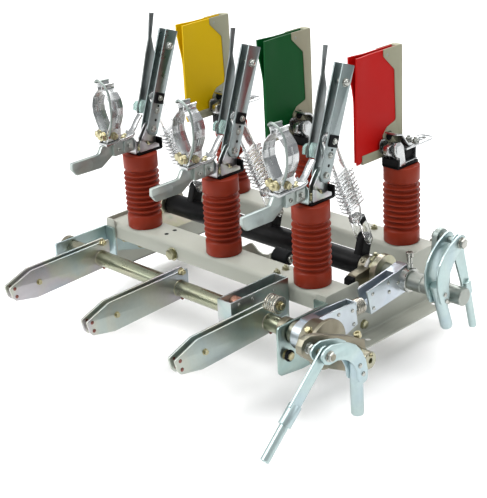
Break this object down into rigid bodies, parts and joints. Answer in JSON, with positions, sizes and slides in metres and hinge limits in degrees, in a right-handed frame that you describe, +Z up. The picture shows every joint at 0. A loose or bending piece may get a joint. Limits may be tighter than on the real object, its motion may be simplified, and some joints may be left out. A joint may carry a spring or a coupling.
{
  "type": "air load break switch",
  "caption": "Indoor air load break switch with earthing blades on a steel base frame, with ribbed post insulators, arc chutes, fuse clips and lever-operated shafts.",
  "frame": {"origin": "centre of the underside of the right side plate's mounting flange", "axes": "+X along the beams towards the operating cranks, +Y from the earthing side to the arc chute side, +Z up along the insulators"},
  "size_m": [0.77, 0.667, 0.4862],
  "materials": {
    "frame_paint": "satin grey-beige paint",
    "insulator_resin": "brick red epoxy resin",
    "black_plastic": "moulded black",
    "blue_zinc": "bright zinc with a blue passivation",
    "silver_plate": "silver plated copper",
    "chute_yellow": "yellow moulded plate",
    "chute_green": "green moulded plate",
    "chute_red": "red moulded plate",
    "chute_frame": "grey-beige moulding",
    "black_steel": "satin black",
    "grey_zinc": "dull zinc",
    "dark_steel": "dull dark zinc",
    "olive_zinc": "olive zinc passivation",
    "brown_zinc": "brownish zinc passivation",
    "spring_steel": "zinc plated wire",
    "clear_plastic": "clear moulded polymer"
  },
  "bodies": {
    "root": {"arc_chute_1": "chute_yellow", "arc_chute_2": "chute_green", "arc_chute_3": "chute_red", "bearing_plates": "blue_zinc", "buffer_bracket": "frame_paint", "chute_frames": "chute_frame", "clip_straps": "silver_plate", "contact_jaws": "silver_plate", "earth_contacts": "silver_plate", "front_beam": "frame_paint", "front_brackets": "blue_zinc", "front_caps": "black_plastic", "front_insulators": "insulator_resin", "fuse_clips": "silver_plate", "left_side_plate": "frame_paint", "main_bearings": "olive_zinc", "rear_beam": "frame_paint", "rear_caps": "black_plastic", "rear_insulators": "insulator_resin", "right_side_plate": "frame_paint", "rubber_buffer": "black_plastic", "spring_carrier": "blue_zinc", "terminals": "silver_plate"},
    "main_shaft": {"main_tube": "black_steel", "main_levers": "black_steel", "main_operating_shaft": "grey_zinc", "main_crank": "dark_steel", "main_interlock_arm": "blue_zinc"},
    "earth_shaft": {"earth_shaft": "olive_zinc", "earth_blades": "blue_zinc", "earth_crank": "brown_zinc", "earth_hub": "brown_zinc", "earth_interlock_arm": "blue_zinc", "shaft_springs": "spring_steel"},
    "main_fork": {"main_fork": "blue_zinc"},
    "main_link": {"main_link": "blue_zinc"},
    "earth_fork": {"earth_fork": "blue_zinc"},
    "earth_link": {"earth_link": "blue_zinc"},
    "blade_1": {"blade_1": "silver_plate", "arc_blade_1": "silver_plate"},
    "rod_1": {"pull_rod_1": "clear_plastic"},
    "blade_2": {"blade_2": "silver_plate", "arc_blade_2": "silver_plate"},
    "rod_2": {"pull_rod_2": "clear_plastic"},
    "blade_3": {"blade_3": "silver_plate", "arc_blade_3": "silver_plate"},
    "rod_3": {"pull_rod_3": "clear_plastic"}
  },
  "joints": [
    {"name": "main_shaft_turn", "type": "hinge", "parent": "root", "child": "main_shaft", "pos_m": [-0.2945, -0.016, 0.0935], "axis": [-1, 0, 0], "range_deg": [0, 89.38]},
    {"name": "earth_shaft_turn", "type": "hinge", "parent": "root", "child": "earth_shaft", "pos_m": [-0.2945, -0.253, 0.0745], "axis": [-1, 0, 0], "range_deg": [0, 90]},
    {"name": "blade_1_turn", "type": "hinge", "parent": "root", "child": "blade_1", "pos_m": [-0.4985, -0.108, 0.2825], "axis": [-1, 0, 0], "range_deg": [0, 70.3]},
    {"name": "rod_1_turn", "type": "hinge", "parent": "blade_1", "child": "rod_1", "pos_m": [-0.4985, -0.089, 0.3355], "axis": [1, 0, 0], "range_deg": [0, 68.2]},
    {"name": "blade_2_turn", "type": "hinge", "parent": "root", "child": "blade_2", "pos_m": [-0.2885, -0.108, 0.2825], "axis": [-1, 0, 0], "range_deg": [0, 70.3]},
    {"name": "rod_2_turn", "type": "hinge", "parent": "blade_2", "child": "rod_2", "pos_m": [-0.2885, -0.089, 0.3355], "axis": [1, 0, 0], "range_deg": [0, 68.2]},
    {"name": "blade_3_turn", "type": "hinge", "parent": "root", "child": "blade_3", "pos_m": [-0.0785, -0.108, 0.2825], "axis": [-1, 0, 0], "range_deg": [0, 70.3]},
    {"name": "rod_3_turn", "type": "hinge", "parent": "blade_3", "child": "rod_3", "pos_m": [-0.0785, -0.089, 0.3355], "axis": [1, 0, 0], "range_deg": [0, 68.2]},
    {"name": "main_fork_swing", "type": "hinge", "parent": "main_shaft", "child": "main_fork", "pos_m": [0.1185, -0.015, 0.1855], "axis": [-1, 0, 0], "range_deg": [0, 45]},
    {"name": "main_link_swing", "type": "hinge", "parent": "main_shaft", "child": "main_link", "pos_m": [0.1215, -0.015, 0.1855], "axis": [1, 0, 0], "range_deg": [0, 45]},
    {"name": "earth_fork_swing", "type": "hinge", "parent": "earth_shaft", "child": "earth_fork", "pos_m": [0.1415, -0.357, 0.1275], "axis": [-1, 0, 0], "range_deg": [0, 40]},
    {"name": "earth_link_swing", "type": "hinge", "parent": "earth_shaft", "child": "earth_link", "pos_m": [0.1435, -0.357, 0.1275], "axis": [-1, 0, 0], "range_deg": [0, 40]}
  ],
  "couplings": [
    {"joint": "blade_1_turn", "follows": "main_shaft_turn", "ratio": 0.78315},
    {"joint": "rod_1_turn", "follows": "main_shaft_turn", "ratio": 0.75985},
    {"joint": "blade_2_turn", "follows": "main_shaft_turn", "ratio": 0.78315},
    {"joint": "rod_2_turn", "follows": "main_shaft_turn", "ratio": 0.75985},
    {"joint": "blade_3_turn", "follows": "main_shaft_turn", "ratio": 0.78315},
    {"joint": "rod_3_turn", "follows": "main_shaft_turn", "ratio": 0.75985}
  ]
}
